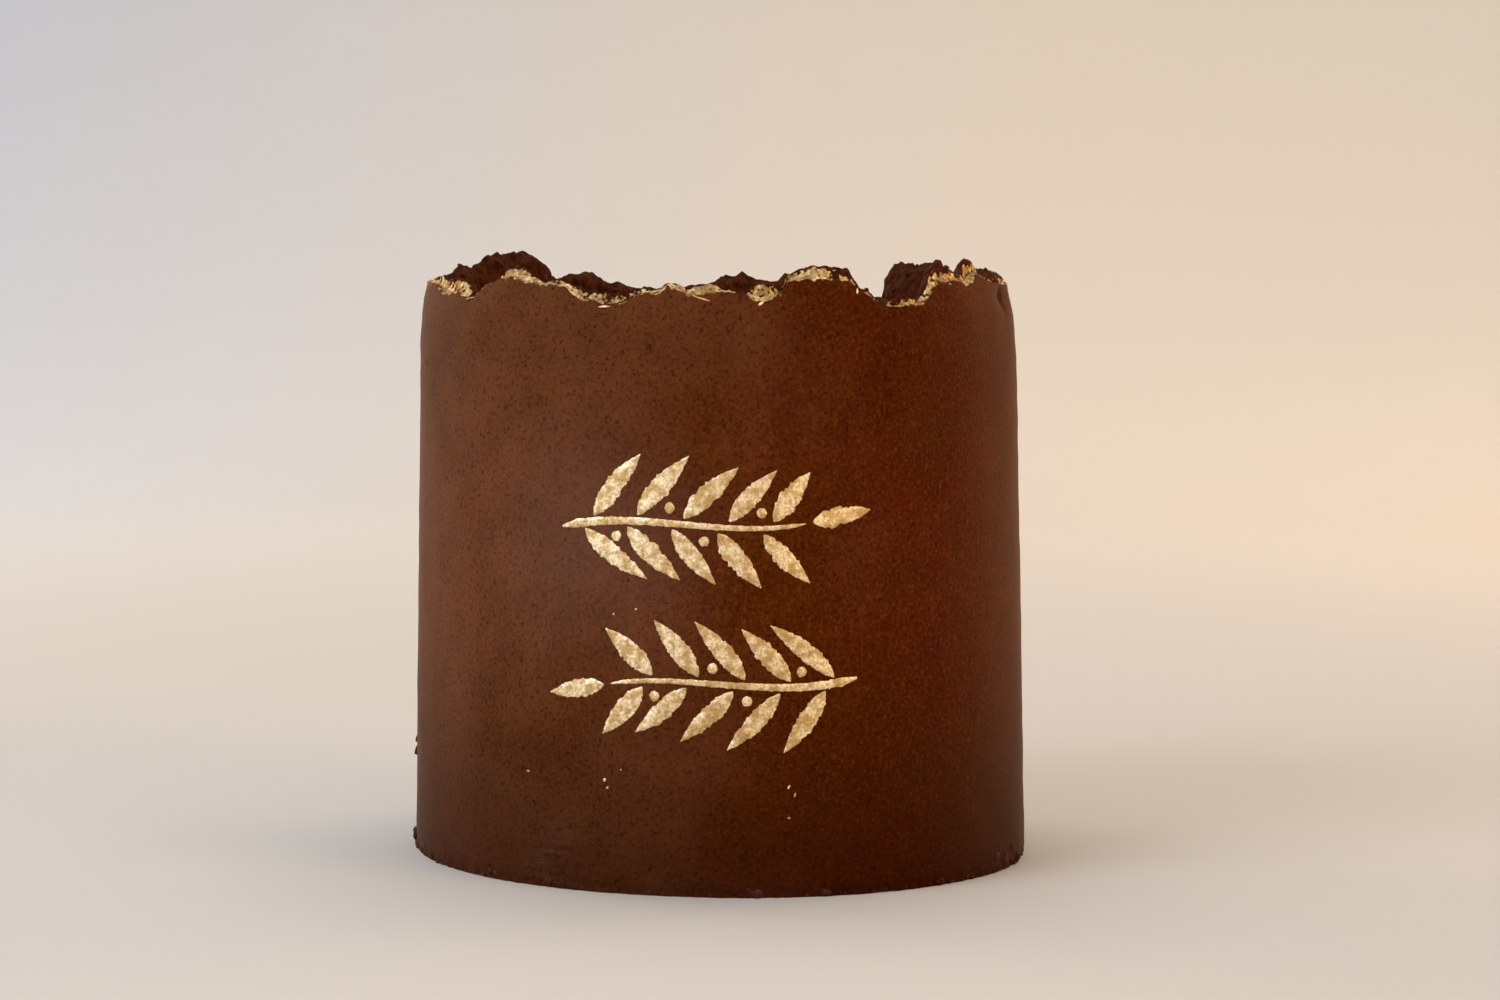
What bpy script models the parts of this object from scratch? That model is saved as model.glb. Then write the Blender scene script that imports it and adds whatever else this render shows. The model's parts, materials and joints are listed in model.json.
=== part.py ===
"""A tall round chocolate cake in a smooth ganache coat, which runs on past the top and ends in a torn, craggy rim.

The cake stands on its flat base with the origin at the base's centre, +Z up and its front towards -Y.
Azimuths are in degrees round from the front, positive towards the right side.
"""

import math
from collections import namedtuple

import bmesh
import bpy
from mathutils import Vector, noise

# The coat's outer wall, in metres: it tapers a little, leans to the left and draws in under the rim.
BASE_RADIUS = 0.0848
TOP_RADIUS = 0.0819
LEAN = -0.0028
FOOT_ROUND = 0.0014
FOOT_ROWS = 2
SHOULDER_HEIGHT = 0.143
SHOULDER_DRAW = 0.0020
WALL_ROWS = (0.007, 0.020, 0.045, 0.075, 0.103, 0.124, 0.138)

# The torn rim: the crest is its highest line, and the lip is where the smooth wall breaks off below it.
CREST_LEVEL = 0.1567
LIP_LEVEL = 0.1555
LEAST_FACE = 0.0004
LIP_ROWS = (0.0080, 0.0040, 0.0015)
RIM_THICKNESS = 0.0045
THICKNESS_PER_RISE = 0.45

# Rows over the rim: how far in through its thickness, and how far up from lip to crest or down from crest to floor.
FACE_ROWS = ((0.24, 0.28), (0.36, 0.75), (0.50, 1.00))
INNER_ROWS = ((0.90, 0.14), (1.10, 0.50), (1.25, 0.84))

# The cake's top, sunk inside the rim.
FLOOR_LEVEL = 0.144
FLOOR_FILLET = 0.0030
FLOOR_ROWS = (0.66, 0.33)

# How rough each surface is: the height of its lumps, and their length.
WALL_LUMPS = (0.00040, 0.045)
FOOT_LUMPS = (0.00050, 0.009)
CREST_LUMPS = (0.00080, 0.006)
LIP_LUMPS = (0.00080, 0.008)
FACE_LUMPS = (0.00120, 0.005)
INNER_LUMPS = (0.00130, 0.009)
FLOOR_LUMPS = (0.00050, 0.030)

# A dent in the wall where the coat was knocked, just under the rim at the right.
DENT_AZIMUTH = 75.0
DENT_HALF_ANGLE = 4.5
DENT_HEIGHT = 0.1540
DENT_HALF_HEIGHT = 0.0028
DENT_DEPTH = 0.0018

COLUMNS = 240
SHARP_ANGLE = math.radians(40)

# A tear lifts or lowers the crest and the lip about its azimuth, here in degrees and metres.
# Squareness 2 is a soft hump, and 8 a block with steep ends.
Tear = namedtuple("Tear", "azimuth crest lip half_width squareness")
TEARS = {
    "front swell": Tear(-8, 0.0009, 0.0008, 2.5, 2),
    "front nick": Tear(5.5, -0.0015, -0.0008, 1.5, 2),
    "front step": Tear(9.5, 0.0020, -0.0022, 3.5, 4),
    "front block": Tear(20, 0.0055, 0.0034, 7.5, 10),
    "front notch": Tear(37, -0.0025, -0.0032, 7, 6),
    "right shoulder": Tear(50, 0.0050, 0.0026, 5, 4),
    "right peak": Tear(61.5, 0.0035, 0.0020, 3, 2),
    "right knoll": Tear(68, 0.0045, 0.0026, 15, 4),
    "right side": Tear(104, 0.0045, 0.0026, 19, 4),
    "back block": Tear(130.5, 0.0060, 0.0036, 9.5, 8),
    "back gap": Tear(147, -0.0055, -0.0055, 5.5, 4),
    "back knoll": Tear(176, 0.0025, 0.0014, 3.5, 2),
    "back dip": Tear(-166, -0.0030, -0.0034, 12, 2),
    "low back knoll": Tear(-150, 0.0020, 0.0012, 4.5, 2),
    "left back lobe": Tear(-128, 0.0073, 0.0042, 10.5, 6),
    "left back slope": Tear(-109, 0.0035, 0.0020, 7, 2),
    "left lumps": Tear(-62, 0.0008, -0.0020, 8, 4),
    "left nick": Tear(-53.5, -0.0045, -0.0022, 2.5, 2),
    "left peak": Tear(-42.5, 0.0045, 0.0033, 5, 2),
    "left knoll": Tear(-31.5, 0.0010, 0.0012, 2.5, 2),
    "front dip": Tear(-20.5, -0.0018, -0.0034, 6.5, 4),
}


def around(azimuth):
    """The direction straight out from the axis at an azimuth."""
    turn = math.radians(azimuth)
    return Vector((math.sin(turn), -math.cos(turn), 0))


def lumps(roughness, azimuth, height, layer):
    """Smooth unevenness in metres that closes on itself round the cake; each layer has a pattern of its own."""
    depth, length = roughness
    place = (around(azimuth) * BASE_RADIUS + Vector((0, 0, height))) / length
    return depth * noise.noise(place + Vector((0, 0, 100 * layer)))


def tear_at(azimuth):
    """How far the tears move the crest and the lip at an azimuth."""
    crest = 0.0
    lip = 0.0
    for tear in TEARS.values():
        away = abs((azimuth - tear.azimuth + 180) % 360 - 180)
        felt = math.exp(-((away / tear.half_width) ** tear.squareness))
        crest += felt * tear.crest
        lip += felt * tear.lip
    return crest, lip


def crest_height(azimuth):
    crest, _ = tear_at(azimuth)
    return CREST_LEVEL + crest + lumps(CREST_LUMPS, azimuth, 0, 1)


def lip_height(azimuth):
    _, lip = tear_at(azimuth)
    height = LIP_LEVEL + lip + lumps(LIP_LUMPS, azimuth, 0, 2)
    return min(height, crest_height(azimuth) - LEAST_FACE)


def rim_thickness(azimuth):
    """A piece that stands higher broke off thicker."""
    crest, _ = tear_at(azimuth)
    return RIM_THICKNESS + THICKNESS_PER_RISE * max(crest, 0.0)


def dent(azimuth, height):
    aside = (azimuth - DENT_AZIMUTH) / DENT_HALF_ANGLE
    above = (height - DENT_HEIGHT) / DENT_HALF_HEIGHT
    return DENT_DEPTH * math.exp(-(aside**2) - above**2)


def wall_radius(azimuth, height):
    """The outer wall's radius at a height."""
    taper = (TOP_RADIUS - BASE_RADIUS) * height / CREST_LEVEL
    above_shoulder = max(height - SHOULDER_HEIGHT, 0.0) / (CREST_LEVEL - SHOULDER_HEIGHT)
    radius = BASE_RADIUS + taper - SHOULDER_DRAW * above_shoulder**1.5
    return radius + lumps(WALL_LUMPS, azimuth, height, 3) - dent(azimuth, height)


def foot_rows(azimuth):
    """(radius, height) from the edge of the flat base round the coat's uneven foot."""
    foot = wall_radius(azimuth, 0) + lumps(FOOT_LUMPS, azimuth, 0, 4)
    rows = []
    for step in range(FOOT_ROWS + 1):
        turn = math.radians(90) * step / FOOT_ROWS
        rows.append((foot - FOOT_ROUND * (1 - math.sin(turn)), FOOT_ROUND * (1 - math.cos(turn))))
    return rows


def wall_rows(azimuth):
    """(radius, height) up the outer wall to the lip."""
    lip = lip_height(azimuth)
    heights = list(WALL_ROWS)
    for drop in LIP_ROWS:
        heights.append(lip - drop)
    heights.append(lip)
    return [(wall_radius(azimuth, height), height) for height in heights]


def rim_rows(azimuth):
    """(radius, height) from the lip up the torn face to the crest, and down inside to the edge of the floor."""
    lip = lip_height(azimuth)
    crest = crest_height(azimuth)
    outer = wall_radius(azimuth, lip)
    thickness = rim_thickness(azimuth)
    rows = []
    for share_in, share_up in FACE_ROWS:
        height = lip + share_up * (crest - lip)
        rows.append((outer - share_in * thickness + lumps(FACE_LUMPS, azimuth, height, 5), height))
    for share_in, share_down in INNER_ROWS:
        height = crest - share_down * (crest - FLOOR_LEVEL)
        rows.append((outer - share_in * thickness + lumps(INNER_LUMPS, azimuth, height, 6), height))
    last_radius, _ = rows[-1]
    rows.append((last_radius - FLOOR_FILLET, FLOOR_LEVEL))
    return rows


def floor_rows(azimuth, edge_radius):
    """(radius, height) across the top inside the rim, short of its middle."""
    rows = []
    for share in FLOOR_ROWS:
        height = FLOOR_LEVEL + lumps(FLOOR_LUMPS, azimuth, share * edge_radius, 7)
        rows.append((share * edge_radius, height))
    return rows


def section(azimuth):
    """The cake's outline at one azimuth, as points from the edge of the base to near the middle of the top."""
    rows = foot_rows(azimuth) + wall_rows(azimuth) + rim_rows(azimuth)
    edge_radius, _ = rows[-1]
    rows += floor_rows(azimuth, edge_radius)
    points = []
    for radius, height in rows:
        lean = Vector((LEAN * height / CREST_LEVEL, 0, height))
        points.append(around(azimuth) * radius + lean)
    return points


def ganache_material():
    """Dark chocolate ganache, scraped smooth: brown, nearly matt, with a faint soft sheen."""
    material = bpy.data.materials.new("ganache")
    material.use_nodes = True
    shader = material.node_tree.nodes["Principled BSDF"]
    shader.inputs["Base Color"].default_value = (0.093, 0.034, 0.012, 1)
    shader.inputs["Roughness"].default_value = 0.62
    shader.inputs["Metallic"].default_value = 0.0
    return material


def build_cake():
    """Sections at even azimuths, skinned all round, with a flat base and the top closed on the axis."""
    shape = bmesh.new()
    columns = []
    for index in range(COLUMNS):
        columns.append([shape.verts.new(point) for point in section(360 * index / COLUMNS)])
    middle = shape.verts.new((LEAN * FLOOR_LEVEL / CREST_LEVEL, 0, FLOOR_LEVEL))
    for column, following in zip(columns, columns[1:] + columns[:1]):
        for row in range(len(column) - 1):
            shape.faces.new((column[row], following[row], following[row + 1], column[row + 1]))
        shape.faces.new((column[-1], following[-1], middle))
    shape.faces.new([column[0] for column in reversed(columns)])
    mesh = bpy.data.meshes.new("cake")
    shape.to_mesh(mesh)
    shape.free()
    mesh.shade_smooth()
    mesh.set_sharp_from_angle(angle=SHARP_ANGLE)
    mesh.materials.append(ganache_material())
    cake = bpy.data.objects.new("cake", mesh)
    bpy.context.collection.objects.link(cake)
    return cake


def main():
    for old in list(bpy.data.objects):
        bpy.data.objects.remove(old, do_unlink=True)
    build_cake()


main()
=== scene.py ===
"""A tall round chocolate cake in a smooth ganache coat, with a torn, gilded rim.

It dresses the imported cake: the coat gets its fine shape, the rim its gold leaf and the front two sprigs.
A plain pale studio stands round it. Azimuths are in degrees from the front, positive to the right.
"""

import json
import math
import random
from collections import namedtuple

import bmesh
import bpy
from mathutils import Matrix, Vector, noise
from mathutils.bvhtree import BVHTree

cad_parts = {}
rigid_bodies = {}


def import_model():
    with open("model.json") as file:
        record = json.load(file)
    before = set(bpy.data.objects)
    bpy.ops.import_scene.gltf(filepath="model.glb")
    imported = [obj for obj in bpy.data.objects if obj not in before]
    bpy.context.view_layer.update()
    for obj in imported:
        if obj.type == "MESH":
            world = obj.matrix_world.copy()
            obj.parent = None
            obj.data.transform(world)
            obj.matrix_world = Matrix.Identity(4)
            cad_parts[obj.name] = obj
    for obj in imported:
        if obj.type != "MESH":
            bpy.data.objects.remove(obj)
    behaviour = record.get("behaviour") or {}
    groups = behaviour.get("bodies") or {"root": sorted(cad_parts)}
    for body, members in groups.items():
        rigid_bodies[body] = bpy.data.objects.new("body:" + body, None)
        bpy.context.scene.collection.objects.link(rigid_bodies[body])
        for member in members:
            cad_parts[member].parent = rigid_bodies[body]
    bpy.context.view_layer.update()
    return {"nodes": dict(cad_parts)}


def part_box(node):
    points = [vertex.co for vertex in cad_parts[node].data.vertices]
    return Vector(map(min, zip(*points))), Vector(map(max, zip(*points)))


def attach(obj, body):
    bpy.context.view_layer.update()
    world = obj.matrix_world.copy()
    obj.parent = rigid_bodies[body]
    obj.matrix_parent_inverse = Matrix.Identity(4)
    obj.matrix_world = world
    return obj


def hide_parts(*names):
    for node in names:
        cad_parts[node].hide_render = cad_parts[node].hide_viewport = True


bl_info = {
    "name": "Torn Rim Ganache Cake",
    "version": (1, 0, 0),
    "blender": (4, 5, 0),
    "location": "3D View > Sidebar > Cake",
    "description": "Gives the packed cake its torn ganache coat, its gold leaf and a plain studio",
    "category": "Add Mesh",
}

for leftover in list(bpy.data.objects):
    bpy.data.objects.remove(leftover, do_unlink=True)
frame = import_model()
CAKE_LOW, CAKE_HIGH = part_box("cake")
CAKE_RADIUS = (CAKE_HIGH.y - CAKE_LOW.y) / 2
CAKE_HEIGHT = CAKE_HIGH.z

MILLIMETRE = 0.001
MERGE_DISTANCE = 0.00001

# The cake's mesh is a grid: columns at even azimuths, and rows from the edge of the base, up the wall, over
# the torn rim and in to the middle of the top.
COLUMNS = 240
FOOT_ROW = 2
LOW_WALL_ROW = 3
RIM_ROW = 11
LIP_ROW = 13
CREST_ROW = 16
FLOOR_ROW = 20
MIDDLE_ROW = 23
SAME_ROW = 0.01
NEXT_ROW = 0.5

# How finely the coat is cut: (first row, last row, cuts up the rows, cuts round the columns).
COAT_CUTS = (
    (0, FOOT_ROW, 1, 2),
    (FOOT_ROW, LOW_WALL_ROW, 7, 2),
    (LOW_WALL_ROW, RIM_ROW, 5, 0),
    (RIM_ROW, LIP_ROW, 4, 3),
    (LIP_ROW, CREST_ROW, 2, 3),
    (CREST_ROW, FLOOR_ROW, 5, 3),
    (FLOOR_ROW, MIDDLE_ROW, 15, 0),
)

# Unevenness of each surface: its layer of the noise, and the (height, length) of its waves in millimetres.
# The layers, and a layer's waves, read the noise so far apart.
LIP_WANDER = (1, ((0.55, 2.4), (0.22, 1.1)))
CREST_WANDER = (2, ((0.70, 2.8), (0.30, 1.2)))
CRAGS = (3, ((0.95, 4.5), (0.36, 1.9), (0.10, 0.9)))
WALL_WAVES = (4, ((0.16, 14.0), (0.05, 4.0)))
FOOT_CRUMBLE = (5, ((0.50, 3.0), (0.40, 1.3)))
FLOOR_SWIRL = (6, ((0.45, 9.0), (0.14, 3.0)))
CLUMPS = (7, ((1.00, 6.0), (0.45, 2.5)))
LEAF_CRINKLE = (9, ((0.10, 0.9),))
LAYER_GAP = 40
WAVE_GAP = 11

# The leaf's patches in the same way, but with heights in thousandths, and how high they start.
LEAF_PATCHES = (8, ((450, 8.0), (1100, 2.6), (2000, 0.9)))
LEAF_START = 0.62

# Rows over which an unevenness fades: its middle row, and how far it reaches below and above.
Band = namedtuple("Band", "middle below above")
LIP_BAND = Band(LIP_ROW, 2.0, 2.0)
CREST_BAND = Band(CREST_ROW, 2.2, 1.5)
INNER_BAND = Band(CREST_ROW + 2, 1.5, 1.8)
LEAF_BAND = Band(LIP_ROW + 1.0, 1.7, 1.9)

# How calm the crags are on the floor, how deep they are in the dent, and how whole the floor looks.
FLOOR_CALM = 0.85
DENT_CRAGS = 0.6
FLOOR_WHOLE = 0.6

FOOT_SMOOTHING = 60
INNER_SMOOTHING = 25
SPIRAL_PITCH = 0.010
SPIRAL_DEPTH = 0.00022
WAVE_FLATTENING = 2.6

# Blender starts its vector noise from the clock, so without a seed the crags would change each run.
CRAG_SEED = 1

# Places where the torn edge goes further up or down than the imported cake's: azimuth and half width in
# degrees, and how far the lip and the crest move in millimetres.
TOUCHES = (
    (-160.0, 3.0, 0.0, 0.6),
    (-136.5, 2.0, 0.0, -1.0),
    (-116.5, 3.0, 0.5, 2.2),
    (-11.5, 1.1, -1.0, -1.2),
    (-5.3, 1.1, -1.0, -1.3),
    (14.5, 2.2, 0.0, -1.3),
    (26.8, 1.3, 0.0, 1.6),
    (64.0, 1.5, 0.5, 1.5),
    (84.0, 3.0, 0.8, 1.8),
)

# Spots on the wall, with heights and reaches in metres: a dulled scrape above the foot, a painted highlight
# left of the front's middle, and the knocked dent at the right, whose broken chocolate shows.
Spot = namedtuple("Spot", "azimuth height reach")
SCRAPE_SPOT = Spot(-30.0, 0.005, 0.017)
HIGHLIGHT_SPOT = Spot(-24.0, 0.092, 0.045)
DENT = Spot(75.0, 0.1532, 0.0052)

# Stretches of the torn face with more or less leaf: middle and half width in degrees, and how much more.
LEAF_SPANS = (
    (-62.0, 6.0, 0.15),
    (-49.0, 3.5, -0.8),
    (-42.0, 4.0, 0.35),
    (-20.5, 5.0, -0.15),
    (-3.0, 5.0, 0.3),
    (5.0, 1.0, -0.8),
    (12.5, 1.2, -0.8),
    (18.0, 4.0, 0.1),
    (24.5, 3.0, -0.8),
    (31.5, 2.5, -0.9),
    (38.0, 4.0, -0.15),
    (52.0, 5.0, -0.35),
    (62.0, 3.0, -0.2),
    (72.0, 7.0, -1.1),
)

# The two sprigs: the height of each stem's middle, and 1 or -1 for the way it points. They are drawn in
# millimetres on the wall, to the right of their middle azimuth and up.
Sprig = namedtuple("Sprig", "height turned seed")
SPRIGS = (Sprig(96.5, 1, 11), Sprig(54.5, -1, 23))
SPRIG_MIDDLE = -1.5
STEM = ((-40, -2), (-18, 3.5), (5, -4), (26, 0))
STEM_LENGTH = 67
STEM_HALF_WIDTH = 1.15

# The leaves stand in pairs along the stem, from a first share of it over a further one, a pair's two leaves
# a little apart. Angles are in degrees, and a bend is a share of the leaf's length.
LEAF_PAIRS = 5
FIRST_PAIR = 0.10
PAIRS_REACH = 0.80
PAIR_STAGGER = 0.12
LEAF_GAP = 2.0
LEAF_ANGLES = (50, 56)
LEAF_LENGTHS = (18.0, 20.0)
LEAF_HALF_WIDTHS = (2.3, 2.7)
LEAF_BENDS = (0.12, 0.20)
TIP_SHORTENING = 0.22
TIP_LEAF_LENGTH = 14
BERRY_RADIUS = 1.35
BERRY_REACH = 3.9
BERRY_AHEAD = 0.145

# How finely a stroke of leaf is cut, in millimetres along it and cells across; how far its edges sink; and
# its unevenness as a share of its width or lift, with a length in millimetres.
STROKE_STEP = 0.35
STROKE_CELLS = 6
STROKE_DOME = 0.55
Wave = namedtuple("Wave", "height length")
EDGE_WAVE = Wave(0.20, 1.9)
EDGE_FRAY = Wave(0.24, 0.6)
STROKE_GRAIN = Wave(0.45, 0.8)

# Single flecks of gold on the wall: azimuth and slant in degrees, height, length and width in millimetres.
Fleck = namedtuple("Fleck", "azimuth height length width slant")
FLECKS = [Fleck(*values) for values in (
    (-20.7, 151.3, 3.6, 0.5, 3),
    (-3.8, 154.4, 3.4, 0.4, -24),
    (-2.2, 153.7, 3.6, 0.35, -17),
    (8.3, 152.8, 2.0, 0.7, 35),
    (27.1, 156.2, 1.5, 0.6, 80),
    (-14.4, 74.0, 0.8, 0.5, 20),
    (-18.5, 72.5, 0.7, 0.5, 60),
    (-36.0, 29.9, 0.9, 0.5, 0),
    (-20.3, 29.4, 1.0, 0.8, 70),
    (-19.8, 27.4, 0.9, 0.6, 30),
    (-17.2, 32.3, 0.6, 0.5, 10),
    (12.6, 28.7, 1.3, 0.5, 60),
    (13.7, 26.6, 1.2, 0.5, 75),
    (12.6, 20.7, 0.8, 0.5, 10),
)]

# Loose flecks below the lip, within so many degrees of the back's middle.
LOOSE_FLECKS = 60
FLECKS_SPREAD = 105
FLECK_TOP_GAP = 1.5
FLECK_FALL = 7
FLECK_LENGTHS = (0.5, 1.3)
FLECK_WIDTHS = (0.35, 0.7)

# Crumbs that stick to the wall: azimuth in degrees, height, width and how far it stands out in millimetres.
Crumb = namedtuple("Crumb", "azimuth height width out")
CRUMBS = [Crumb(*values) for values in (
    (-12.2, 141.2, 1.8, 0.30),
    (-20.6, 120.5, 1.7, 0.12),
    (-54.4, 107.0, 1.5, 0.15),
    (-15.9, 81.4, 1.3, 0.12),
    (-23.7, 73.4, 1.4, 0.12),
    (-21.3, 71.5, 1.2, 0.12),
    (-44.6, 13.7, 1.6, 0.20),
    (-84.8, 26.5, 3.2, 0.70),
    (-86.0, 29.5, 2.0, 0.50),
    (-84.7, 3.5, 3.6, 1.00),
    (-82.0, 1.2, 4.0, 0.90),
    (6.6, 1.2, 4.5, 0.50),
    (19.2, 1.0, 3.4, 0.70),
    (62.0, 4.6, 3.2, 0.60),
    (66.0, 3.0, 4.0, 0.80),
    (70.0, 5.4, 3.0, 0.60),
    (74.0, 2.2, 3.6, 0.80),
)]

# Further crumbs, in millimetres: round the sides and the back, along the foot and on the rim.
WALL_CRUMBS = 30
WALL_CRUMBS_SPREAD = 115
WALL_CRUMB_HEIGHTS = (6, 148)
WALL_CRUMB_WIDTHS = (0.5, 1.3)
WALL_CRUMB_OUT = 0.15
FOOT_CRUMBS = 130
RIM_CRUMBS = 70
RIM_CRUMB_INSETS = (6, 14)
RIM_CRUMB_WIDTHS = (0.6, 1.7)
WALL_CRUMB_FLATNESS = 0.7
RIM_CRUMB_FLATNESS = 0.8
CRUMB_BULGES = ((0.55, 1.3), (0.2, 3))

# How fast the coat's painted light fades from its paler, cooler left to its redder right, for each metre,
# and how much blotches stir it.
LIT_SIDE_FADE = 9.0
LIT_SIDE_STIR = 1.6

BUMP_DEPTH = 0.3 * MILLIMETRE

# The scraper's streaks are drawn out round the cake.
STREAK_STRETCH = (0.14, 0.14, 1.0)

# The values of its noise between which a speck of gold starts and is full.
SPECK_LIMITS = (0.40, 0.64)


def pattern(length, detail, roughness=0.5):
    """The settings of a noise whose blotches are about so many millimetres long."""
    return {"Scale": 1 / (length * MILLIMETRE), "Detail": detail, "Roughness": roughness}


# The materials' patterns. The ganache's own grain and the leaf's specks and crinkles are finer than the
# render can show, so they are drawn as coarse as it needs.
BLOTCHES = pattern(55, 2.0)
CLOUDS = pattern(13, 3.0, 0.6)
GRAIN = pattern(1.0, 3.0, 0.75)
STREAKS = pattern(2.4, 3.0)
SCRATCHES = pattern(1.4, 3.0, 0.6)
TORN_CRUMB = pattern(2.2, 4.0, 0.65)
RUBBED_SPECKS = pattern(0.8, 3.0, 0.7)
GOLD_PATCHES = pattern(2.6, 3.0)
GOLD_SPECKS = pattern(0.7, 2.0, 0.6)
GOLD_CRINKLE = pattern(1.0, 5.0, 0.75)


def srgb(code):
    """The linear RGB of an sRGB hex colour."""
    channels = []
    for start in (0, 2, 4):
        value = int(code[start : start + 2], 16) / 255
        channels.append(value / 12.92 if value <= 0.04045 else ((value + 0.055) / 1.055) ** 2.4)
    return tuple(channels)


def around(azimuth):
    """The direction straight out from the axis at an azimuth."""
    turn = math.radians(azimuth)
    return Vector((math.sin(turn), -math.cos(turn), 0))


def wrapped(angle):
    """An angle in degrees brought between -180 and 180."""
    return (angle + 180) % 360 - 180


def deselect_all():
    for thing in bpy.context.view_layer.objects:
        thing.select_set(False)


def select_only(piece):
    deselect_all()
    piece.select_set(True)
    bpy.context.view_layer.objects.active = piece


def name_piece(name):
    """Names the active object and its mesh."""
    piece = bpy.context.view_layer.objects.active
    piece.name = name
    piece.data.name = name
    return piece


def apply_modifier(piece, kind, **settings):
    """Adds a modifier with its settings and applies it."""
    select_only(piece)
    modifier = piece.modifiers.new(kind.title(), kind)
    for key, value in settings.items():
        setattr(modifier, key, value)
    bpy.ops.object.modifier_apply(modifier=modifier.name)


def noise_spots(place, unevenness):
    """For each wave of an unevenness, its height in metres and where to read its noise."""
    layer, waves = unevenness
    for number, (height, length) in enumerate(waves):
        shift = Vector((0, 0, LAYER_GAP * layer + WAVE_GAP * number))
        yield height * MILLIMETRE, place / (length * MILLIMETRE) + shift


def uneven(place, unevenness):
    """How high an unevenness is at a place, in metres."""
    return sum((height * noise.noise(spot) for height, spot in noise_spots(place, unevenness)), 0.0)


def uneven_vector(place, unevenness):
    """The same in all three directions."""
    shift = Vector()
    for height, spot in noise_spots(place, unevenness):
        shift += height * noise.noise_vector(spot)
    return shift


def ramp(value, start, end):
    """0 before start, 1 after end, smooth between."""
    share = min(max((value - start) / (end - start), 0.0), 1.0)
    return share * share * (3 - 2 * share)


def near(row, band):
    """1 on a band's middle row, falling to 0 at its ends."""
    if row < band.middle:
        return ramp(row, band.middle - band.below, band.middle)
    return 1 - ramp(row, band.middle, band.middle + band.above)


# The coat


def copy_of_node(node, name):
    """A new object with a merged copy of a node's mesh."""
    mesh = frame["nodes"][node].data.copy()
    mesh.materials.clear()
    piece = bpy.data.objects.new(name, mesh)
    bpy.context.scene.collection.objects.link(piece)
    select_only(piece)
    bpy.ops.mesh.customdata_custom_splitnormals_clear()
    bpy.ops.object.mode_set(mode="EDIT")
    bpy.ops.mesh.select_all(action="SELECT")
    bpy.ops.mesh.remove_doubles(threshold=MERGE_DISTANCE)
    bpy.ops.object.mode_set(mode="OBJECT")
    return name_piece(name)


def sideways_lean(mesh):
    """How far the cake's axis leans to +X for each metre up, read from the middle of its top."""
    tops = [vertex.co for vertex in mesh.vertices if vertex.co.z > CAKE_HEIGHT / 2]
    middle = min(tops, key=lambda place: place.xy.length)
    return middle.x / middle.z


LEAN = sideways_lean(frame["nodes"]["cake"].data)


def on_axis(height):
    """The point of the leaning axis at a height."""
    return Vector((LEAN * height, 0, height))


def azimuth_of(place):
    out = place - on_axis(place.z)
    return math.degrees(math.atan2(out.x, -out.y))


def radius_of(place):
    return (place - on_axis(place.z)).xy.length


def column_of(place):
    return round(azimuth_of(place) * COLUMNS / 360) % COLUMNS


def walk_column(column):
    """A column's points in order, from the edge of the base in over the rim, but not the middle point."""
    here = min(column, key=lambda vertex: vertex.co.z * COLUMNS - radius_of(vertex.co))
    path = [here]
    while here is not None:
        others = [edge.other_vert(here) for edge in here.link_edges]
        following = [other for other in others if other in column and other not in path]
        here = following[0] if following else None
        if here is not None:
            path.append(here)
    return path


def number_rows(shape, rows):
    """Writes each point's row into the layer.

    The rows are counted from the middle, as a few columns lack a point at the foot.
    """
    columns = {}
    for vertex in shape.verts:
        if vertex.co.z > CAKE_HEIGHT / 2 and radius_of(vertex.co) < MILLIMETRE:
            vertex[rows] = MIDDLE_ROW
        else:
            columns.setdefault(column_of(vertex.co), set()).add(vertex)
    for column in columns.values():
        for inwards, vertex in enumerate(reversed(walk_column(column))):
            vertex[rows] = MIDDLE_ROW - 1 - inwards


def dissolve_diagonals(shape, rows):
    """Turns the triangles back into the grid's quads, and the base into one flat face."""
    diagonals = []
    for edge in shape.edges:
        first, second = edge.verts
        if MIDDLE_ROW in (first[rows], second[rows]):
            continue
        apart = abs(wrapped((column_of(first.co) - column_of(second.co)) * 360 / COLUMNS)) * COLUMNS / 360
        if first[rows] == 0 and second[rows] == 0:
            if apart > 1.5:
                diagonals.append(edge)
        elif apart > 0.5 and first[rows] != second[rows]:
            diagonals.append(edge)
    bmesh.ops.dissolve_edges(shape, edges=diagonals, use_verts=False)


def smooth_rows(shape, rows, first, last, passes):
    """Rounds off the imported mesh's upright ribs between two rows, and keeps its heights."""
    chosen = [vertex for vertex in shape.verts if first < vertex[rows] < last]
    for _ in range(passes):
        bmesh.ops.smooth_vert(shape, verts=chosen, factor=0.5, use_axis_x=True, use_axis_y=True)


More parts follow.
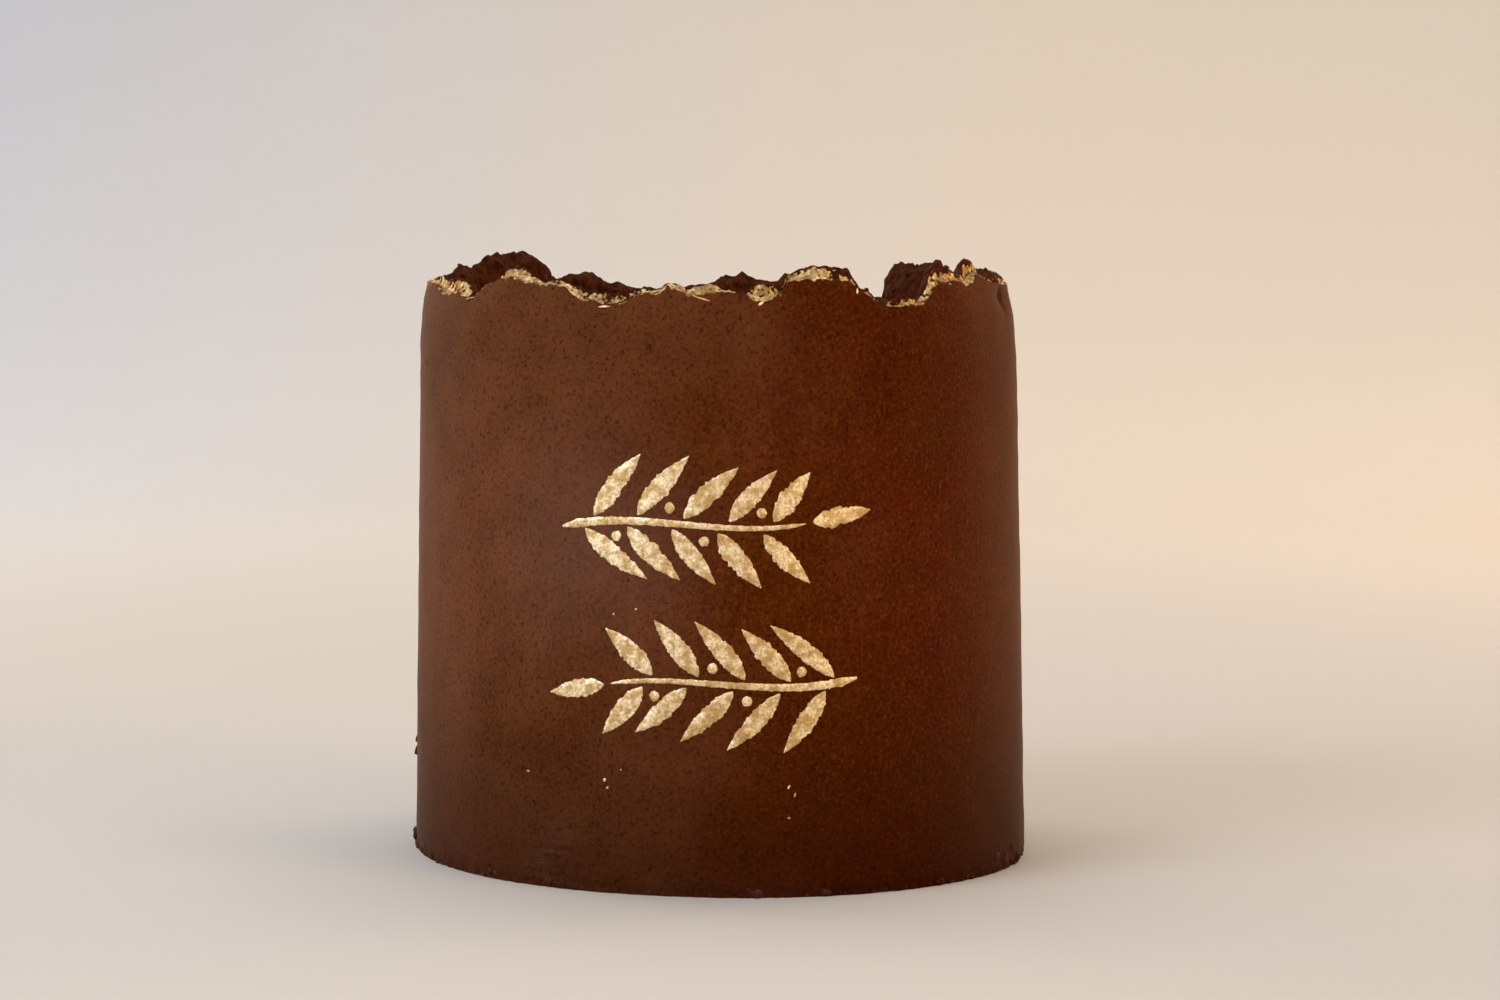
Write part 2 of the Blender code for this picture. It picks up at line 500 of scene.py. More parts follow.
def cut_coat(coat):
    """Cuts the coat finer, band by band: first the upright edges, then those that run round."""
    shape = bmesh.new()
    shape.from_mesh(coat.data)
    rows = shape.verts.layers.float.new("row")
    number_rows(shape, rows)
    dissolve_diagonals(shape, rows)
    for first, last, cuts, _ in COAT_CUTS:
        upright = []
        for edge in shape.edges:
            low, high = sorted(vertex[rows] for vertex in edge.verts)
            if low >= first and high <= last and high - low > NEXT_ROW:
                upright.append(edge)
        bmesh.ops.subdivide_edges(shape, edges=upright, cuts=cuts, use_grid_fill=True)
    for first, last, _, cuts in COAT_CUTS:
        level = []
        for edge in shape.edges:
            low, high = sorted(vertex[rows] for vertex in edge.verts)
            if cuts and low >= first and high <= last and high - low < SAME_ROW:
                level.append(edge)
        if level:
            level = [edge for edge in level if edge.calc_length() > MILLIMETRE]
            bmesh.ops.subdivide_edges(shape, edges=level, cuts=cuts, use_grid_fill=True)
    smooth_rows(shape, rows, -1, LOW_WALL_ROW - SAME_ROW, FOOT_SMOOTHING)
    smooth_rows(shape, rows, CREST_ROW + 0.3, FLOOR_ROW - SAME_ROW, INNER_SMOOTHING)
    shape.to_mesh(coat.data)
    shape.free()


def touch_up(azimuth):
    """How far the touches move the lip and the crest at an azimuth, in metres."""
    lip = 0.0
    crest = 0.0
    for middle, half_width, lip_up, crest_up in TOUCHES:
        felt = math.exp(-((wrapped(azimuth - middle) / half_width) ** 2)) * MILLIMETRE
        lip += felt * lip_up
        crest += felt * crest_up
    return lip, crest


def dent_share(place):
    """1 in the middle of the dent, falling to 0 at its edge."""
    aside = math.radians(wrapped(azimuth_of(place) - DENT.azimuth)) * CAKE_RADIUS
    return 1 - ramp(math.hypot(aside, place.z - DENT.height), 0.45 * DENT.reach, DENT.reach)


def roughen_coat(coat, crag_depth):
    """Gives the coat its wandering lip and crest, crags between them, a wavy wall and a crumbly foot."""
    noise.seed_set(CRAG_SEED)
    rows = coat.data.attributes["row"].data
    half_column = math.pi / COLUMNS
    for vertex in coat.data.vertices:
        row = rows[vertex.index].value
        place = vertex.co.copy()
        azimuth = azimuth_of(place)
        out = around(azimuth)
        ring = out * CAKE_RADIUS
        off_column = math.radians(azimuth) % (2 * half_column) - half_column
        place += out * radius_of(place) * (math.cos(off_column) / math.cos(half_column) - 1)
        lip_touch, crest_touch = touch_up(azimuth)
        lift = near(row, LIP_BAND) * (uneven(ring, LIP_WANDER) + lip_touch)
        lift += near(row, CREST_BAND) * (uneven(ring, CREST_WANDER) + crest_touch)
        calm = FLOOR_CALM * ramp(row, FLOOR_ROW - 1, FLOOR_ROW + 0.3)
        torn = ramp(row, LIP_ROW, LIP_ROW + 0.8) * (1 - calm)
        torn = max(torn, DENT_CRAGS * dent_share(place))
        shift = crag_depth * torn * uneven_vector(place, CRAGS)
        shift += crag_depth * near(row, INNER_BAND) * uneven_vector(place, CLUMPS)
        wall = ramp(row, FOOT_ROW, LOW_WALL_ROW) * (1 - ramp(row, LIP_ROW - 1, LIP_ROW + 1))
        flat_place = Vector((place.x, place.y, place.z * WAVE_FLATTENING))
        shift += out * wall * uneven(flat_place, WALL_WAVES)
        foot = 1 - ramp(row, FOOT_ROW, FOOT_ROW + 0.5)
        shift += out * foot * uneven(place, FOOT_CRUMBLE)
        inside = ramp(row, FLOOR_ROW - 0.5, FLOOR_ROW + 0.5)
        turns = radius_of(place) / SPIRAL_PITCH - azimuth / 360
        spiral = SPIRAL_DEPTH * math.sin(2 * math.pi * turns) * ramp(radius_of(place), 0, SPIRAL_PITCH)
        shift.z += inside * (uneven(place, FLOOR_SWIRL) + spiral)
        shift.z += lift
        if row < SAME_ROW:
            shift.z = 0
        vertex.co = place + shift


def write_attribute(coat, name, value_at):
    """Writes value_at(row, place) for each point of the coat, for its material."""
    values = coat.data.attributes.new(name, "FLOAT", "POINT")
    rows = coat.data.attributes["row"].data
    for index, value in enumerate(values.data):
        value.value = value_at(rows[index].value, coat.data.vertices[index].co)


def brokenness(row, place):
    """1 over the broken rim and in the dent, and less on the floor inside the rim."""
    whole = FLOOR_WHOLE * ramp(row, FLOOR_ROW, FLOOR_ROW + 1)
    return max(ramp(row, LIP_ROW - 0.1, LIP_ROW + 0.3) * (1 - whole), dent_share(place))


def rubbed_leaf(row, place):
    """How much leaf rubbed off thinly round its patches, from 0 to 1."""
    if LIP_ROW - 1 < row < CREST_ROW + 1:
        return ramp(gold_cover(place, row), -0.45, 0.15)
    return 0.0


# The gold leaf


def gold_cover(place, row):
    """How thickly the leaf lies on the torn face there; over 0 it is gilded."""
    azimuth = azimuth_of(place)
    band = near(row, LEAF_BAND)
    patches = band * uneven(place, LEAF_PATCHES)
    more = 0.0
    for middle, half_width, extra in LEAF_SPANS:
        more += extra * math.exp(-((wrapped(azimuth - middle) / half_width) ** 4))
    return band + patches - LEAF_START + more


def mean_row(face, rows):
    return sum(vertex[rows] for vertex in face.verts) / len(face.verts)


def leaf_from_coat(coat, name, thickness):
    """A thin crinkled sheet over the parts of the torn face that the leaf covers."""
    piece = bpy.data.objects.new(name, coat.data.copy())
    bpy.context.scene.collection.objects.link(piece)
    shape = bmesh.new()
    shape.from_mesh(piece.data)
    rows = shape.verts.layers.float["row"]
    beyond = [face for face in shape.faces if not LIP_ROW - 1 < mean_row(face, rows) < CREST_ROW + 1.5]
    bmesh.ops.delete(shape, geom=beyond, context="FACES")
    bmesh.ops.subdivide_edges(shape, edges=list(shape.edges), cuts=2, use_grid_fill=True)
    bare = [face for face in shape.faces if gold_cover(face.calc_center_median(), mean_row(face, rows)) < 0]
    bmesh.ops.delete(shape, geom=bare, context="FACES")
    shape.normal_update()
    for vertex in shape.verts:
        vertex.co += vertex.normal * (thickness * 1.4 + uneven(vertex.co, LEAF_CRINKLE))
    shape.to_mesh(piece.data)
    shape.free()
    apply_modifier(piece, "SOLIDIFY", thickness=thickness, offset=-1)
    select_only(piece)
    bpy.ops.object.shade_smooth_by_angle(angle=math.radians(40))
    return name_piece(name)


def bezier(points, share):
    """The point at a share of the way along a cubic curve."""
    start, first, second, end = (Vector(point) for point in points)
    rest = 1 - share
    return rest**3 * start + 3 * rest**2 * share * first + 3 * rest * share**2 * second + share**3 * end


def bezier_heading(points, share):
    step = 0.01
    ahead = bezier(points, min(share + step, 1)) - bezier(points, max(share - step, 0))
    return ahead.normalized()


def coat_surface():
    """The dressed coat's surface, for laying things on it."""
    shape = bmesh.new()
    shape.from_mesh(bpy.data.objects["torn_rim_cake"].data)
    surface = BVHTree.FromBMesh(shape)
    shape.free()
    return surface


def on_wall(surface, azimuth, height, lift):
    """A point on the coat's wall at an azimuth, or on top of the rim where that is lower, in metres."""
    out = around(azimuth)
    hit = None
    while hit is None:
        hit, _, _, _ = surface.ray_cast(on_axis(height) + out * CAKE_RADIUS * 1.5, -out, CAKE_RADIUS)
        height -= 0.3 * MILLIMETRE
    return hit + out * lift


# A brushed stroke of leaf on the wall, in millimetres as the sprigs are. Its outline gives the half width at
# a share along it from the widest one.
Stroke = namedtuple("Stroke", "curve length outline half_width seed")


def add_stroke(surface, stroke, lift):
    """Brushes a stroke on to the wall, standing out by the lift along its middle and frayed at its edges."""
    steps = max(int(stroke.length / STROKE_STEP), STROKE_CELLS)
    bpy.ops.mesh.primitive_grid_add(x_subdivisions=steps, y_subdivisions=STROKE_CELLS, size=1)
    piece = bpy.context.view_layer.objects.active
    for vertex in piece.data.vertices:
        share = vertex.co.x + 0.5
        side = vertex.co.y * 2
        heading = bezier_heading(stroke.curve, share)
        aside = Vector((-heading.y, heading.x))
        flank = math.copysign(7, side)
        along = share * stroke.length
        rough = 1 + EDGE_WAVE.height * noise.noise(Vector((along / EDGE_WAVE.length, flank, stroke.seed)))
        fray = EDGE_FRAY.height * noise.noise(Vector((along / EDGE_FRAY.length, flank, stroke.seed + 50)))
        rough += fray * abs(side)
        half_width = stroke.outline(share, stroke.half_width)
        spot = bezier(stroke.curve, share) + aside * side * half_width * rough
        dome = 1 - STROKE_DOME * abs(side) ** 3
        grain_spot = Vector((spot.x / STROKE_GRAIN.length, spot.y / STROKE_GRAIN.length, stroke.seed))
        grain = STROKE_GRAIN.height * noise.noise(grain_spot)
        azimuth = SPRIG_MIDDLE + math.degrees(spot.x * MILLIMETRE / CAKE_RADIUS)
        vertex.co = on_wall(surface, azimuth, spot.y * MILLIMETRE, lift * (dome + grain))
    return piece


def leaf_outline(share, half_width):
    """A leaf's half width: pointed at both ends and widest before its middle."""
    return half_width * max(math.sin(math.pi * share**0.85), 0.05) ** 0.8


def stem_outline(share, half_width):
    """The stem's half width: it narrows towards both ends, and more towards its tip."""
    return half_width * min(share * 12 + 0.25, 1) * (1 - 0.55 * share) * min((1 - share) * 12 + 0.3, 1)


def berry_outline(share, half_width):
    return half_width * math.sqrt(max(1 - (2 * share - 1) ** 2, 0.02))


def sprig_strokes(sprig):
    """The stem, the leaves in pairs, the leaf at its tip and the berries between the leaves."""
    draw = random.Random(sprig.seed)
    stem = [(across * sprig.turned, sprig.height + rise * sprig.turned) for across, rise in STEM]
    strokes = [Stroke(stem, STEM_LENGTH, stem_outline, STEM_HALF_WIDTH, sprig.seed)]
    for index in range(LEAF_PAIRS):
        for flank in (-1, 1):
            share = FIRST_PAIR + PAIRS_REACH * (index + PAIR_STAGGER * flank) / (LEAF_PAIRS - 0.6)
            heading = bezier_heading(stem, share)
            aside = Vector((-heading.y, heading.x)) * flank
            open_angle = math.radians(draw.uniform(*LEAF_ANGLES))
            way = heading * math.cos(open_angle) + aside * math.sin(open_angle)
            length = draw.uniform(*LEAF_LENGTHS) * (1 - TIP_SHORTENING * share)
            strokes.append(leaf_stroke(bezier(stem, share), heading, way, length, draw))
            if (index + (flank > 0)) % 2 == 0 and index < LEAF_PAIRS - 1:
                middle = bezier(stem, share + BERRY_AHEAD) + aside * BERRY_REACH
                strokes.append(berry_stroke(middle, heading * BERRY_RADIUS, draw))
    heading = bezier_heading(stem, 1)
    strokes.append(leaf_stroke(bezier(stem, 1), heading, heading, TIP_LEAF_LENGTH, draw))
    return strokes


def leaf_stroke(root, heading, way, length, draw):
    """One leaf that starts clear of the stem and curves towards its tip."""
    start = root + way * LEAF_GAP
    along = way * length
    bend = heading * length * draw.uniform(*LEAF_BENDS)
    curve = (start, start + along * 0.33, start + along * 0.66 + bend * 0.5, start + along + bend)
    return Stroke(curve, length, leaf_outline, draw.uniform(*LEAF_HALF_WIDTHS), draw.uniform(0, 100))


def berry_stroke(middle, across, draw):
    curve = (middle - across, middle - across / 3, middle + across / 3, middle + across)
    return Stroke(curve, 2 * BERRY_RADIUS, berry_outline, BERRY_RADIUS, draw.uniform(0, 100))


def fleck_stroke(fleck, seed):
    """A torn scrap of leaf on the wall."""
    slant = math.radians(fleck.slant)
    along = Vector((math.cos(slant), math.sin(slant))) * fleck.length
    aside = math.radians(wrapped(fleck.azimuth - SPRIG_MIDDLE)) * CAKE_RADIUS / MILLIMETRE
    middle = Vector((aside, fleck.height))
    curve = (middle - along / 2, middle - along / 6, middle + along / 6, middle + along / 2)
    return Stroke(curve, fleck.length, leaf_outline, fleck.width / 2, seed)


def loose_flecks(surface, draw):
    """Small flecks that fell just below the lip, round the sides and the back."""
    flecks = []
    for _ in range(LOOSE_FLECKS):
        azimuth = wrapped(180 + draw.uniform(-FLECKS_SPREAD, FLECKS_SPREAD))
        top = on_wall(surface, azimuth, CAKE_HEIGHT, 0).z / MILLIMETRE
        height = top - FLECK_TOP_GAP - draw.random() ** 2 * FLECK_FALL
        length = draw.uniform(*FLECK_LENGTHS)
        width = draw.uniform(*FLECK_WIDTHS)
        flecks.append(Fleck(azimuth, height, length, width, draw.uniform(0, 180)))
    return flecks


# The crumbs


def add_crumb(place, out, size, flatness, draw):
    """An irregular crumb about so wide, flattened along out."""
    bpy.ops.mesh.primitive_ico_sphere_add(subdivisions=2, radius=1)
    crumb = bpy.context.view_layer.objects.active
    turn = out.to_track_quat("Z", "Y")
    seed = Vector((draw.uniform(0, 50), draw.uniform(0, 50), draw.uniform(0, 50)))
    for vertex in crumb.data.vertices:
        bulge = 1.0
        for height, closeness in CRUMB_BULGES:
            bulge += height * noise.noise(vertex.co * closeness + seed)
        shape = vertex.co * bulge
        shape.z *= flatness
        vertex.co = place + turn @ (shape * size / 2)
        vertex.co.z = max(vertex.co.z, 0.0)
    return crumb


def wall_crumbs(surface, draw):
    """The crumbs seen on the wall, finer ones round the sides and the back, and a line along the foot."""
    crumbs = list(CRUMBS)
    for _ in range(WALL_CRUMBS):
        azimuth = wrapped(180 + draw.uniform(-WALL_CRUMBS_SPREAD, WALL_CRUMBS_SPREAD))
        height = draw.uniform(*WALL_CRUMB_HEIGHTS)
        crumbs.append(Crumb(azimuth, height, draw.uniform(*WALL_CRUMB_WIDTHS), WALL_CRUMB_OUT))
    for _ in range(FOOT_CRUMBS):
        width = 0.7 + 1.6 * draw.random() ** 2
        crumbs.append(Crumb(draw.uniform(-180, 180), width * draw.uniform(0.5, 1.0), width, width * 0.2))
    pieces = []
    for crumb in crumbs:
        lift = (crumb.out - crumb.width * 0.35) * MILLIMETRE
        place = on_wall(surface, crumb.azimuth, crumb.height * MILLIMETRE, lift)
        out = around(crumb.azimuth)
        pieces.append(add_crumb(place, out, crumb.width * MILLIMETRE, WALL_CRUMB_FLATNESS, draw))
    return pieces


def rim_crumbs(surface, draw):
    """Crumbs that stick to the torn rim, from the crest in to the floor."""
    pieces = []
    for _ in range(RIM_CRUMBS):
        out = around(draw.uniform(-180, 180))
        above = on_axis(CAKE_HEIGHT) + out * (CAKE_RADIUS - draw.uniform(*RIM_CRUMB_INSETS) * MILLIMETRE)
        hit, normal, _, _ = surface.ray_cast(above + Vector((0, 0, 10 * MILLIMETRE)), Vector((0, 0, -1)))
        size = draw.uniform(*RIM_CRUMB_WIDTHS) * MILLIMETRE
        pieces.append(add_crumb(hit + normal * size * 0.1, normal, size, RIM_CRUMB_FLATNESS, draw))
    return pieces


def join_pieces(pieces, name):
    deselect_all()
    for piece in pieces:
        piece.select_set(True)
    bpy.context.view_layer.objects.active = pieces[0]
    bpy.ops.object.join()
    return name_piece(name)


# Materials


def opaque(colour):
    return (colour[0], colour[1], colour[2], 1.0)


def set_inputs(tree, node, inputs):
    """Gives a node's sockets, by name or number, a value, a colour or another node's output."""
    for name, value in inputs.items():
        socket = node.inputs[name]
        if isinstance(value, bpy.types.NodeSocket):
            tree.links.new(value, socket)
        elif socket.type == "RGBA":
            socket.default_value = opaque(value)
        else:
            socket.default_value = value


def add_node(tree, kind, inputs=None, out=0, **settings):
    """Adds a shader node with its settings, inputs and links, and returns one of its outputs."""
    node = tree.nodes.new("ShaderNode" + kind)
    for key, value in settings.items():
        setattr(node, key, value)
    set_inputs(tree, node, inputs or {})
    return node.outputs[out]


def new_material(name):
    """A new material, with its tree and its Principled shader."""
    material = bpy.data.materials.new(name)
    material.use_nodes = True
    tree = material.node_tree
    return material, tree, tree.nodes["Principled BSDF"]


def layered(tree, ground, layers):
    """Lays colours over a ground colour, in order.

    A layer is a guide, its values where the layer starts and is full, how strongly it then covers, and its
    colour. A guide is another node's output, such as a noise.
    """
    colour = ground
    for guide, start, full, share, paint in layers:
        limits = {0: guide, 1: start, 2: full, 4: share}
        cover = add_node(tree, "MapRange", limits, interpolation_type="SMOOTHSTEP")
        colour = add_node(tree, "Mix", {0: cover, 6: colour, 7: paint}, 2, data_type="RGBA")
    return colour


def distance_from(tree, place, spot):
    """How far a place lies from a spot on the wall."""
    middle = around(spot.azimuth) * CAKE_RADIUS + Vector((0, 0, spot.height))
    return add_node(tree, "VectorMath", {0: place, 1: middle}, "Value", operation="DISTANCE")


def torn_chocolate(tree, place, colours):
    """The colour of broken ganache, with painted shade in its hollows, and the crumbly pattern that it
    follows.
    """
    crumb = add_node(tree, "TexNoise", {"Vector": place, **TORN_CRUMB})
    crumb = add_node(tree, "MapRange", {0: crumb, 1: 0.35, 2: 0.65}, interpolation_type="SMOOTHSTEP")
    faces = {0: crumb, 6: colours.torn_dark, 7: colours.torn_warm}
    return add_node(tree, "Mix", faces, 2, data_type="RGBA"), crumb


def gold_colour(tree, place, pale, deep):
    """The colour of brushed-on gold leaf, deeper where it is thin and in its specks, and their noise."""
    patches = add_node(tree, "TexNoise", {"Vector": place, **GOLD_PATCHES})
    specks = add_node(tree, "TexNoise", {"Vector": place, **GOLD_SPECKS})
    layers = ((patches, 0.40, 0.62, 0.75, deep), (specks, *SPECK_LIMITS, 0.55, deep))
    return layered(tree, pale, layers), specks


def scraped_colour(tree, place, stretched, grain, colours):
    """The colour of the scraped coat, from its painted light at the left up to its scrapes, with a painted
    highlight, a painted sheen at the right, and painted shade at the foot and the top.
    """
    blotches = add_node(tree, "TexNoise", {"Vector": place, **BLOTCHES})
    clouds = add_node(tree, "TexNoise", {"Vector": place, **CLOUDS})
    scratches = add_node(tree, "TexNoise", {"Vector": stretched, **SCRATCHES})
    parts = add_node(tree, "SeparateXYZ", {0: place}).node.outputs
    # Painted light: the coat goes from a paler, cooler colour on its left, where the light falls, to a
    # redder one on its right.
    stir = add_node(tree, "Math", {0: blotches, 1: LIT_SIDE_STIR}, operation="MULTIPLY")
    side = add_node(tree, "Math", {0: parts["X"], 1: LIT_SIDE_FADE, 2: stir}, operation="MULTIPLY_ADD")
    scrape = {0: distance_from(tree, place, SCRAPE_SPOT), 1: SCRAPE_SPOT.reach, 2: 0.0, 4: 0.45}
    scraped = add_node(tree, "MapRange", scrape, interpolation_type="SMOOTHSTEP")
    layers = (
        (side, 0.30, 1.30, 1.0, colours.ganache_red),
        (blotches, 0.45, 0.70, 0.5, colours.ganache_olive),
        # Painted sheen: an olive band down the right side of the coat, where it turns away from the camera.
        (parts["X"], 0.055, 0.080, 0.75, colours.ganache_olive),
        (clouds, 0.35, 0.65, 0.20, colours.ganache_dark_and_shade),
        (grain, 0.50, 0.75, 0.65, colours.ganache_pale),
        (grain, 0.50, 0.26, 0.95, colours.ganache_dark_and_shade),
        # Painted highlight: a paler, greyer patch left of the front's middle, where the light from the left
        # gleams.
        (distance_from(tree, place, HIGHLIGHT_SPOT), HIGHLIGHT_SPOT.reach, 0.0, 0.20, colours.ganache_scrape_and_highlight),
        (scratches, 0.45, 0.70, scraped, colours.ganache_scrape_and_highlight),
        # Painted shade: the coat darkens towards the foot and towards the top of the wall.
        (parts["Z"], 0.075, -0.010, 0.68, colours.ganache_dark_and_shade),
        (parts["Z"], 0.105, 0.150, 0.14, colours.ganache_dark_and_shade),
    )
    return layered(tree, colours.ganache_lit_left, layers)


def rubbed_gold(tree, place):
    """Where specks of leaf rubbed off on the ganache, from 0 to 1, by the coat's gilt attribute."""
    gilt = add_node(tree, "Attribute", out="Fac", attribute_name="gilt")
    specks = add_node(tree, "TexNoise", {"Vector": place, **RUBBED_SPECKS})
    rubbed = add_node(tree, "Math", {0: specks, 1: gilt}, operation="ADD")
    reach = add_node(tree, "MapRange", {0: gilt, 1: 0.02, 2: 0.2}, interpolation_type="SMOOTHSTEP")
    limits = {0: rubbed, 1: 0.90, 2: 1.10, 4: reach}
    return add_node(tree, "MapRange", limits, interpolation_type="SMOOTHSTEP")


def ganache_material(colours):
    """Dark chocolate ganache, scraped smooth: nearly matt, with a fine grain and soft blotches.

    The cocoa butter in it gives a faint warm sheen at a glancing angle, which its broken face lacks.
    """
    material, tree, shader = new_material("scraped_dark_ganache")
    place = add_node(tree, "TexCoord", out="Object")
    stretched = add_node(tree, "Mapping", {0: place, 3: STREAK_STRETCH})
    grain = add_node(tree, "TexNoise", {"Vector": place, **GRAIN})
    torn = add_node(tree, "Attribute", out="Fac", attribute_name="torn")
    broken, crumb = torn_chocolate(tree, place, colours)
    gold, _ = gold_colour(tree, place, colours.worn_pale, colours.worn_deep)
    rubbed = rubbed_gold(tree, place)
    colour = scraped_colour(tree, place, stretched, grain, colours)
    for share, paint in ((torn, broken), (rubbed, gold)):
        colour = add_node(tree, "Mix", {0: share, 6: colour, 7: paint}, 2, data_type="RGBA")
    rough = add_node(tree, "Math", {0: grain, 1: 0.20, 2: 0.45}, operation="MULTIPLY_ADD")
    rough = add_node(tree, "Math", {0: torn, 1: 0.15, 2: rough}, operation="MULTIPLY_ADD")
    streaks = add_node(tree, "TexNoise", {"Vector": stretched, **STREAKS})
    relief = add_node(tree, "Math", {0: grain, 1: 0.60}, operation="MULTIPLY")
    relief = add_node(tree, "Math", {0: streaks, 1: 0.25, 2: relief}, operation="MULTIPLY_ADD")
    crags = add_node(tree, "Math", {0: crumb, 1: torn}, operation="MULTIPLY")
    relief = add_node(tree, "Math", {0: crags, 1: 1.5, 2: relief}, operation="MULTIPLY_ADD")
    finish = {
        "Base Color": colour,
        "Metallic": add_node(tree, "Math", {0: rubbed, 1: 0.8}, operation="MULTIPLY"),
        "Roughness": rough,
        "Normal": add_node(tree, "Bump", {"Strength": 0.40, "Distance": BUMP_DEPTH, "Height": relief}),
        "Specular IOR Level": 0.05,
        "Specular Tint": srgb("BC7C3F"),
        "Sheen Weight": add_node(tree, "MapRange", {0: torn, 3: 0.14, 4: 0.0}),
        "Sheen Roughness": 0.15,
        "Sheen Tint": srgb("FFCF8A"),
    }
    set_inputs(tree, shader, finish)
    return material


def crumb_material(colours):
    """Crumbs broken off the same ganache: dry and matt."""
    material, tree, shader = new_material("dry_ganache_crumb")
    place = add_node(tree, "TexCoord", out="Object")
    colour, crumb = torn_chocolate(tree, place, colours)
    finish = {
        "Base Color": colour,
        "Roughness": 0.72,
        "Normal": add_node(tree, "Bump", {"Strength": 0.4, "Distance": BUMP_DEPTH, "Height": crumb}),
        "Specular IOR Level": 0.15,
    }
    set_inputs(tree, shader, finish)
    return material


def gold_leaf_material(name, pale, deep):
    """Edible gold leaf pressed on by brush: metal, crinkled, with darker patches where it lies thin."""
    material, tree, shader = new_material(name)
    place = add_node(tree, "TexCoord", out="Object")
    colour, specks = gold_colour(tree, place, pale, deep)
    dullness = {0: specks, 1: SPECK_LIMITS[0], 2: SPECK_LIMITS[1], 3: 0.34, 4: 0.54}
    crinkle = add_node(tree, "TexNoise", {"Vector": place, **GOLD_CRINKLE})
    finish = {
        "Base Color": colour,
        "Metallic": 1.0,
        "Roughness": add_node(tree, "MapRange", dullness, interpolation_type="SMOOTHSTEP"),
        "Normal": add_node(tree, "Bump", {"Strength": 0.8, "Distance": BUMP_DEPTH, "Height": crinkle}),
    }
    set_inputs(tree, shader, finish)
    return material


def studio_material(colours):
    """Matt painted board: pale and smooth, with no gloss, darker round the cake in painted shade, and tinted
    cooler at left and warmer at right for the light from each side.
    """
    material, tree, shader = new_material("matt_painted_board")
    place = add_node(tree, "TexCoord", out="Object")
    across = add_node(tree, "SeparateXYZ", {0: place})
    # Painted light: the wall's tints stand for cool light from the left and warm light from the right.
    sides = ((across, -0.8, 0.3, 1.0, colours.studio_warm), (across, 0.9, 2.2, 1.0, colours.studio_tan))
    wall = layered(tree, colours.studio_cool, sides)
    # Painted shade: the floor is darker round the cake, which evens out the softboxes' pool of light there.
    away = add_node(tree, "VectorMath", {0: place}, "Value", operation="LENGTH")
    colour = layered(tree, colours.studio_floor, ((away, 0.3, 1.7, 1.0, wall),))
    set_inputs(tree, shader, {"Base Color": colour, "Roughness": 0.9, "Specular IOR Level": 0.1})
    return material


# Properties, operators and the panel


class CAKE_PG_sizes(bpy.types.PropertyGroup):
    """The sizes a user would change."""

    crag_depth: bpy.props.FloatProperty(
        name="Crag depth",
        description="How deep the torn rim's crags are, as a share of the real ones",
        default=1.0, min=0.0, max=2.0, subtype="FACTOR",
    )
    leaf_thickness: bpy.props.FloatProperty(
        name="Leaf thickness",
        description="Thickness of the gold leaf on the rim, drawn thicker than real leaf so that it shows",
        default=0.00007, min=0.00001, unit="LENGTH",
    )
    ornament_lift: bpy.props.FloatProperty(
        name="Ornament lift",
        description="How far the ornament's strokes stand out from the coat",
        default=0.00025, min=0.00005, unit="LENGTH",
    )
    studio_radius: bpy.props.FloatProperty(
        name="Studio radius",
        description="Radius of the round studio about the cake",
        default=2.6, min=1.5, unit="LENGTH",
    )


def colour_property(name, description, code):
    return bpy.props.FloatVectorProperty(
        name=name, description=description, default=srgb(code), size=3, min=0.0, max=1.0, subtype="COLOR"
    )


class CAKE_PG_colours(bpy.types.PropertyGroup):
    """The colours a user would change."""

    # Painted light: the coat is paler and cooler on its left, where the light falls, and redder on its
    # right.
    ganache_red: colour_property("Red ganache", "The redder right side of the coat", "501B03")
    ganache_lit_left: colour_property("Dulled ganache", "The left side, with a breath of bloom", "633920")
    # Also the painted sheen down the coat's right side.
    ganache_olive: colour_property("Olive ganache", "The browner, more olive blotches", "502A06")
    # Also the painted shade at the foot and at the top of the wall.
    ganache_dark_and_shade: colour_property("Dark ganache", "The dark side of the grain", "200700")
    ganache_pale: colour_property("Pale ganache", "The light side of the grain", "7A3F0E")
    # Also the painted highlight left of the front's middle.
    ganache_scrape_and_highlight: colour_property("Grey ganache", "Dulled scrapes above the foot", "745A50")
    # Painted shade: the hollows of the broken rim and of the crumbs are drawn in this darker colour.
    torn_dark: colour_property("Torn, dark", "The hollows of the broken rim", "2A1006")
    torn_warm: colour_property("Torn, warm", "The faces of the broken rim", "4C230D")
    gold_pale: colour_property("Pale gold", "Thick, clean gold leaf on the wall", "FFEAC0")
    gold_deep: colour_property("Deep gold", "Thin gold leaf on the wall", "B58A3C")
    worn_pale: colour_property("Worn gold, pale", "Clean patches of the rim's gold leaf", "D4B77F")
    worn_deep: colour_property("Worn gold, deep", "Thin patches of the rim's gold leaf", "785019")
    # Painted light and shade: the floor is darker round the cake, and the wall is cool at left and warm at
    # right.
    studio_floor: colour_property("Studio floor", "The floor of the studio", "C2BEB6")
    studio_cool: colour_property("Studio wall, left", "The left half of the studio's wall", "DAE1E9")
    studio_warm: colour_property("Studio wall, right", "The right half of the studio's wall", "F0E6D4")
    studio_tan: colour_property("Studio wall, far right", "The wall to the cake's right", "E4D9C4")


